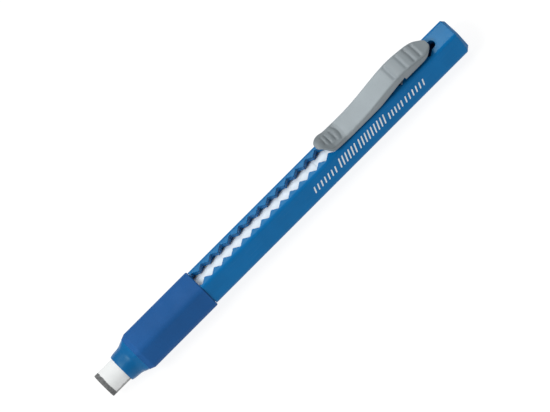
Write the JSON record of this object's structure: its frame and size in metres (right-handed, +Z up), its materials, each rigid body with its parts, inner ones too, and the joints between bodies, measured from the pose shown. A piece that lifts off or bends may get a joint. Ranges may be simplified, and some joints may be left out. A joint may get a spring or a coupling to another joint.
{
  "type": "retractable stick eraser",
  "caption": "Pen-shaped click eraser: hexagonal barrel with notched slot, rubber grip, sliding pocket clip that feeds a white eraser stick out of the nose.",
  "frame": {"origin": "middle of the footprint, on the ground plane that the grip's lower flat lies on", "axes": "+X along the barrel towards the rear end, +Z up out of the slotted face with the clip on it, +Y across"},
  "size_m": [0.122, 0.0122, 0.0155],
  "materials": {
    "barrel": "glossy translucent blue plastic",
    "grip_sleeve": "matt blue rubber",
    "tail_plug": "glossy blue plastic",
    "eraser_holder": "satin white plastic",
    "clip": "satin cool grey plastic",
    "eraser_stick": "matt white vinyl"
  },
  "bodies": {
    "barrel_body": {"barrel": "barrel", "grip_sleeve": "grip_sleeve", "tail_plug": "tail_plug"},
    "carriage": {"eraser_holder": "eraser_holder"},
    "clip_body": {"clip": "clip"},
    "eraser_body": {"eraser_stick": "eraser_stick"}
  },
  "joints": [
    {"name": "slider_slide", "type": "slide", "parent": "barrel_body", "child": "carriage", "axis": [-1, 0, 0], "range_m": [-0.00655, 0.0688]},
    {"name": "clip_press", "type": "hinge", "parent": "carriage", "child": "clip_body", "pos_m": [0.0325, 0, 0.00556], "axis": [0, 1, 0], "range_deg": [0, 3], "stiffness_Nm_per_rad": 0.5, "springref_deg": -0.57},
    {"name": "refill_pull", "type": "slide", "parent": "carriage", "child": "eraser_body", "axis": [-1, 0, 0], "range_m": [0, 0.09]}
  ]
}
